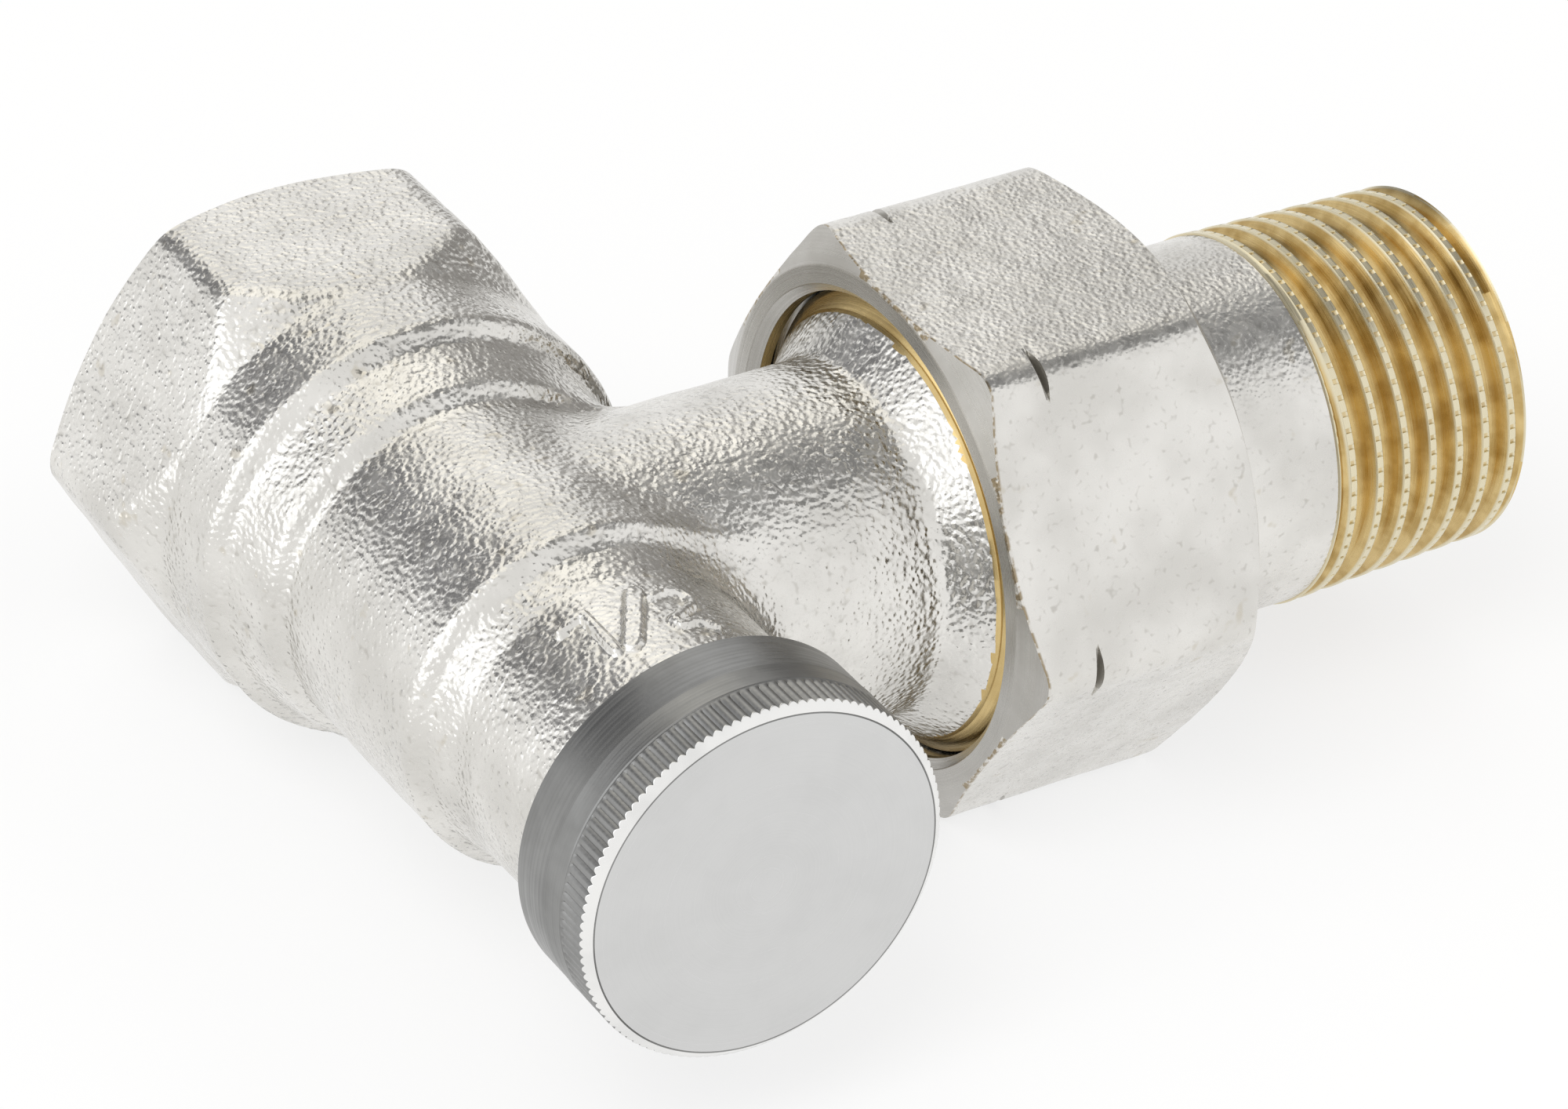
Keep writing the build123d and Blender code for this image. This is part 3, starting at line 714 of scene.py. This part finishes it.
def make_union_nut():
    corner_r = NUT_FLAT_R / COS30
    low, high = (NUT_NEAR - 1.6, -17.4, -17.4), (NUT_FAR + 1.6, 17.4, 17.4)
    verts, quads = surface_of(nut_field, low, high, VOXEL)
    verts, normals = settled(nut_field, verts)
    wave = 0.03 * rough(verts, 3.0, 5) + 0.02 * rough(verts, 1.0, 6) - 0.02
    obj = mesh_object("union_nut_forged", verts + normals * wave[:, None], quads)
    around = whole_turn(288)
    wide = lambda rows: np.broadcast_to(rows, (len(rows), len(around), 2)) if rows.shape[1] == 1 else rows
    bore_r = SPIGOT_R + 0.05
    near_slope, far_slope = tan(radians(NEAR_SLOPE)), tan(radians(FAR_SLOPE))
    out = 20.0
    near_cut = turned("near_cut", wide(profile([
        (NUT_NEAR - 3, 0), (NUT_NEAR - 3, out), (NUT_NEAR + (out - NUT_FLAT_R + 0.1) * near_slope, out),
        (NUT_NEAR, NUT_FLAT_R - 0.1, 0.12), (NUT_NEAR, 0),
    ], loop=False)), around, "x")
    far_cut = turned("far_cut", wide(profile([
        (NUT_FAR, 0), (NUT_FAR, NUT_FLAT_R - 0.3, 0.15), (NUT_FAR - (out - NUT_FLAT_R + 0.3) * far_slope, out),
        (NUT_FAR + 3, out), (NUT_FAR + 3, 0),
    ], loop=False)), around, "x")
    inner_thread = thread_rows(
        around, (NUT_NEAR + 0.9, NUT_SHOULDER - 1.2), bore_r, 0.75,
        (0.0, 0.14, 0.46, 0.54, 0.86), (0, 0, 1, 1, 0), fade=0.9,
    )
    bore_head = profile([
        (NUT_NEAR - 2, 0), (NUT_NEAR - 2, bore_r + 0.55), (NUT_NEAR, bore_r + 0.55, 0.1),
        (NUT_NEAR + 0.55, bore_r),
    ], loop=False)
    bore_tail = profile([
        (NUT_SHOULDER, bore_r, 0.1), (NUT_SHOULDER, 10.75), (NUT_FAR - 0.2, 10.75),
        (NUT_FAR, 10.95), (NUT_FAR + 2, 10.95), (NUT_FAR + 2, 0),
    ], loop=False)
    bore = turned("nut_bore", np.concatenate([wide(bore_head), inner_thread, wide(bore_tail)]), around, "x")
    mark = NUT_NEAR + 4.1
    mark_r = corner_r - (2 / sqrt(3) - 1) * 2.0
    groove = turned("mark_groove", wide(profile([
        (mark - 0.08, mark_r - 0.62), (mark + 0.08, mark_r - 0.62), (mark + 0.36, corner_r), (mark + 0.36, 19),
        (mark - 0.36, 19), (mark - 0.36, corner_r),
    ])), around, "x")
    cut(obj, [near_cut, far_cut, bore, groove])
    centres = face_centres(obj.data)
    skin = np.abs(nut_field(centres)) < 0.14
    finished(obj, "nut", "union_nut", [NUT_SKIN, TURNED_X], sharp=38)
    obj.data.polygons.foreach_set("material_index", np.where(skin, 0, 1).astype(np.int32))
    obj.data.update()
    return obj


# ---- cap ----


def make_cap():
    teeth, per_tooth = 120, 6
    around = whole_turn(teeth * per_tooth)
    r, reach = 10.4, 25.3
    phase = np.arange(len(around)) % per_tooth
    dip = 0.13 * np.array([1.0, 0.45, 0.08, 0.0, 0.08, 0.45])[phase]
    front = reach - 0.45
    knurl_back = front - 1.9
    back = NECK_SHOULDER + 0.1
    floor = NECK_END + 0.1 + 1.0 + 0.02
    bore_r = CAP_THREAD_R + 0.05
    head = profile([
        (-reach, 0.0), (-reach, r - 0.62, 0.02), (0.07 - reach, r - 0.57, 0.02), (-reach, r - 0.50, 0.03),
        (-front - dip, r - dip, 0.03), (-knurl_back - 0.15, r - dip), (-knurl_back, r - dip * 0.3),
        (-knurl_back + 0.05, r - 0.01), (-knurl_back + 0.12, r - 0.06, 0.03), (-knurl_back + 0.2, r - 0.01, 0.03),
        (-knurl_back + 1.55, r - 0.01), (-knurl_back + 1.61, r + 0.0), (-knurl_back + 1.67, r - 0.03),
        (-back - 0.15, r - 0.03, 0.05), (-back, r - 0.18, 0.05), (-back, bore_r + 0.35, 0.05), (-back - 0.35, bore_r),
    ], loop=False)
    inner = thread_rows(
        around, (-back - 0.45, -NECK_END + 0.2), bore_r, 0.55,
        (0.0, 0.12, 0.5, 0.88), (0, 0, 1, 0), fade=0.4,
    )
    tail = profile([(-floor, bore_r, 0.1), (-floor, 0.0)], loop=False)
    wide = lambda rows: np.broadcast_to(rows, (len(rows), len(around), 2)) if rows.shape[1] == 1 else rows
    obj = turned("cap_turned", np.concatenate([wide(head), inner, wide(tail)]), around, "y")
    centres = face_centres(obj.data)
    away = np.hypot(centres[:, 0], centres[:, 2])
    # Slot 1, the side, knurl and inside, gets the painted shade.
    slot = np.ones(len(centres), int)
    slot[(centres[:, 1] < -reach + 0.02) & (away < r - 0.6)] = 0
    # Slot 2, the front chamfer, gets the painted highlight.
    slot[(centres[:, 1] < -front + 0.02) & (away >= r - 0.53) & (away < r + centres[:, 1] * -1 - front - 0.02 + 0.06)] = 2
    finished(obj, "cap", "cap", [CAP_FACE, CAP_SIDE_PAINTED_SHADE, CAP_EDGE_PAINTED_HIGHLIGHT], sharp=50, weighted=True)
    obj.data.polygons.foreach_set("material_index", slot.astype(np.int32))
    obj.data.update()
    return obj


# ---- tailpiece ----

TAIL_REACH, THREAD_START = 58.0, 44.8


def tail_crest(station):
    return 10.22 + (TAIL_REACH - station) / 32


def make_tailpiece():
    notches = 72
    fractions = np.array([0.0, 0.03, 0.16, 0.29, 0.32, 0.48, 0.65, 0.82])
    around = np.concatenate([(k + fractions) * 2 * pi / notches for k in range(notches)] + [[2 * pi]])
    which = np.arange(len(around)) % 8
    notch = np.where((which >= 1) & (which <= 3), 1.0, 0.0)
    wide = lambda rows: np.broadcast_to(rows, (len(rows), len(around), 2)) if rows.shape[1] == 1 else rows

    seat = lambda s: UNION_SEAT_R - (SPIGOT_REACH - s) * tan(radians(30))
    lug = np.clip((1.2 - np.abs(6.9 * np.cos(around))) * 6, 0, 1)
    lug_r = 6.9 - 1.1 * lug
    head = profile([
        (56.0, lug_r), (47.0, lug_r), (46.95, 6.9), (28.0, 6.9, 0.1), (28.0, seat(27.9) - 0.3, 0.1),
        (28.3, seat(28.2)), (28.9, seat(28.8)), (28.9, 7.75), (30.3, 7.75), (30.3, seat(30.2)), (30.6, seat(30.5)),
        (30.6, 11.8, 0.15), (33.4, 11.8, 0.15), (33.4, 10.5, 0.1), (THREAD_START - 0.5, 10.5),
        (THREAD_START + 0.03, 10.52), (THREAD_START + 0.1, tail_crest(THREAD_START + 0.1)),
    ], loop=False)
    thread = thread_rows(
        around, (THREAD_START + 0.15, TAIL_REACH - 0.35), tail_crest, -1.05,
        (0.0, 0.015, 0.055, 0.16, 0.215, 0.25, 0.40, 0.53, 0.66, 0.82, 0.985),
        (0.0, 0.0, 0.0, 0.0, 0.0, 0.06, 0.66, 1.0, 0.96, 0.56, 0.04), fade=0.7,
        phase=-0.1,
    )
    rows_per_turn = 11
    shallow = np.isin(np.arange(len(thread)) % rows_per_turn, (2, 3))
    thread[shallow, :, 1] -= 0.11 * notch
    edge = profile([
        (TAIL_REACH - 0.3, tail_crest(TAIL_REACH) - 0.35), (TAIL_REACH, tail_crest(TAIL_REACH) - 0.8, 0.1),
        (TAIL_REACH, 7.1, 0.1), (TAIL_REACH - 0.2, 6.9), (56.05, 6.9),
    ], loop=False)
    obj = turned("tailpiece_turned", np.concatenate([wide(head), thread, wide(edge)]), around, "x")
    centres = face_centres(obj.data)
    away = np.hypot(centres[:, 1], centres[:, 2])
    slot = np.where((centres[:, 0] > THREAD_START - 0.1) & (away > 8.0), 1, 0)
    slot[(centres[:, 0] > 36.0) & (centres[:, 0] < THREAD_START - 0.1) & (away > 9)] = 2
    slot[(centres[:, 0] > TAIL_REACH - 0.4)] = 3
    finished(obj, "tail", "tailpiece", [BRASS_X, TAIL_THREAD, FORGED_FINE, BRASS_X], sharp=50, weighted=True)
    obj.data.polygons.foreach_set("material_index", slot.astype(np.int32))
    obj.data.update()
    return obj


make_valve_body()
make_union_nut()
make_cap()
make_tailpiece()


# ---- floor, light and camera ----


def rays_that_see(tree):
    """1 for camera, glossy and transmission rays, which all show the pale background."""
    path = tree.nodes.new("ShaderNodeLightPath")
    total = path.outputs["Is Camera Ray"]
    for name in ("Is Glossy Ray", "Is Transmission Ray"):
        add = tree.nodes.new("ShaderNodeMath")
        add.operation = "ADD"
        add.use_clamp = True
        tree.links.new(total, add.inputs[0])
        tree.links.new(path.outputs[name], add.inputs[1])
        total = add.outputs[0]
    return total


def make_floor():
    tilt = NUT_TURN
    middle = in_row([(15.0, 0.0, -NUT_FLAT_R / cos(tilt))])[0]
    mesh = bpy.data.meshes.new("floor")
    size = 3.0
    along = Vector((0, cos(tilt), sin(tilt)))
    across = Vector((1, 0, 0))
    corners = [Vector(middle) + across * a * size + along * b * size for a, b in ((-1, -1), (1, -1), (1, 1), (-1, 1))]
    mesh.from_pydata(corners, [], [(0, 1, 2, 3)])
    floor = bpy.data.objects.new("floor", mesh)
    bpy.context.scene.collection.objects.link(floor)
    material = bpy.data.materials.new("studio_floor")
    material.use_nodes = True
    tree = material.node_tree
    shader = tree.nodes["Principled BSDF"]
    shader.inputs["Roughness"].default_value = 0.9
    shader.inputs["Specular IOR Level"].default_value = 0.0
    shader.inputs["Base Color"].default_value = (0.86, 0.86, 0.855, 1)
    glow = tree.nodes.new("ShaderNodeEmission")
    glow.inputs["Color"].default_value = (1, 1, 1, 1)
    level = tree.nodes.new("ShaderNodeMath")
    level.operation = "MULTIPLY"
    level.inputs[1].default_value = 0.72
    tree.links.new(rays_that_see(tree), level.inputs[0])
    mix = tree.nodes.new("ShaderNodeMixShader")
    tree.links.new(level.outputs[0], mix.inputs[0])
    tree.links.new(shader.outputs[0], mix.inputs[1])
    tree.links.new(glow.outputs[0], mix.inputs[2])
    tree.links.new(mix.outputs[0], tree.nodes["Material Output"].inputs["Surface"])
    mesh.materials.append(material)


def direction(azimuth, elevation):
    """Unit vector; azimuth 0 looks out along -Y and 90 along +X, in degrees."""
    a, e = radians(azimuth), radians(elevation)
    return (sin(a) * cos(e), -cos(a) * cos(e), sin(e))


# Soft boxes and grey cards of the studio, which only the metal sees: azimuth, elevation,
# half width, colour
STUDIO = (0.82, 0.82, 0.82)
BACKDROP = (1.0, 1.0, 1.0)
PATCHES = [
    (172, 64, 34, (1.32, 1.29, 1.21)),
    (-92, 18, 36, (1.75, 1.77, 1.80)),
    (78, 66, 30, (0.26, 0.26, 0.26)),
    (116, 26, 32, (0.30, 0.29, 0.28)),
    (124, 0, 30, (0.36, 0.35, 0.34)),
    (-155, 32, 27, (0.22, 0.22, 0.23)),
    (-174, 4, 24, (0.3, 0.3, 0.3)),
]


def make_world():
    world = bpy.data.worlds.new("studio")
    bpy.context.scene.world = world
    world.use_nodes = True
    tree = world.node_tree
    back = tree.nodes["Background"]
    where = tree.nodes.new("ShaderNodeTexCoord").outputs["Generated"]

    def mixed(share, first, second):
        mix = tree.nodes.new("ShaderNodeMix")
        mix.data_type = "RGBA"
        tree.links.new(share, mix.inputs["Factor"])
        for socket, value in ((mix.inputs[6], first), (mix.inputs[7], second)):
            if isinstance(value, tuple):
                socket.default_value = (*value, 1)
            else:
                tree.links.new(value, socket)
        return mix.outputs[2]

    colour = mixed(rays_that_see(tree), STUDIO, BACKDROP)
    for azimuth, elevation, half, patch in PATCHES:
        dot = tree.nodes.new("ShaderNodeVectorMath")
        dot.operation = "DOT_PRODUCT"
        dot.inputs[1].default_value = direction(azimuth, elevation)
        tree.links.new(where, dot.inputs[0])
        share = tree.nodes.new("ShaderNodeMapRange")
        share.interpolation_type = "SMOOTHSTEP"
        share.inputs["From Min"].default_value = cos(radians(half))
        share.inputs["From Max"].default_value = cos(radians(half * 0.35))
        tree.links.new(dot.outputs["Value"], share.inputs["Value"])
        colour = mixed(share.outputs["Result"], colour, patch)
    path = tree.nodes.new("ShaderNodeLightPath")
    colour = mixed(path.outputs["Is Camera Ray"], colour, BACKDROP)
    tree.links.new(colour, back.inputs["Color"])
    back.inputs["Strength"].default_value = 1.0


def make_lamp(name, azimuth, elevation, distance, size, power):
    """Square soft lamp that looks at the middle of the valve."""
    target = Vector((0.022, -0.025, 0))
    lamp = bpy.data.lights.new(name, "AREA")
    lamp.shape = "SQUARE"
    lamp.size = size
    lamp.energy = power
    holder = bpy.data.objects.new(name, lamp)
    out = Vector(direction(azimuth, elevation))
    holder.location = target + out * distance
    holder.rotation_mode = "QUATERNION"
    holder.rotation_quaternion = out.to_track_quat("Z", "Y")
    holder.visible_glossy = False
    bpy.context.scene.collection.objects.link(holder)


def make_camera():
    """The photograph's camera, found from its outlines."""
    az, el, roll = radians(-32.037), radians(33.163), radians(2.097)
    away, right_shift, up_shift = 337.306, 13.827, 4.137
    back = Vector((sin(az) * cos(el), -cos(az) * cos(el), sin(el)))
    right = Vector((cos(az), sin(az), 0))
    up = back.cross(right)
    right, up = right * cos(roll) + up * sin(roll), up * cos(roll) - right * sin(roll)
    spot = back * away + right * right_shift + up * up_shift
    camera = bpy.data.cameras.new("camera")
    camera.sensor_width = 36
    camera.lens = 36 * 8220.698 / 2000
    camera.clip_start = 0.01
    camera.clip_end = 20
    holder = bpy.data.objects.new("camera", camera)
    place = Matrix((right, up, back)).transposed().to_4x4()
    place.translation = Vector(in_row([spot])[0])
    holder.matrix_world = place
    bpy.context.scene.collection.objects.link(holder)
    bpy.context.scene.camera = holder


make_floor()
make_world()
make_lamp("key", -60, 55, 0.9, 0.5, 3.0)
make_lamp("fill", 60, 40, 1.0, 0.6, 2.0)
make_camera()
bpy.context.scene.view_settings.view_transform = "Standard"
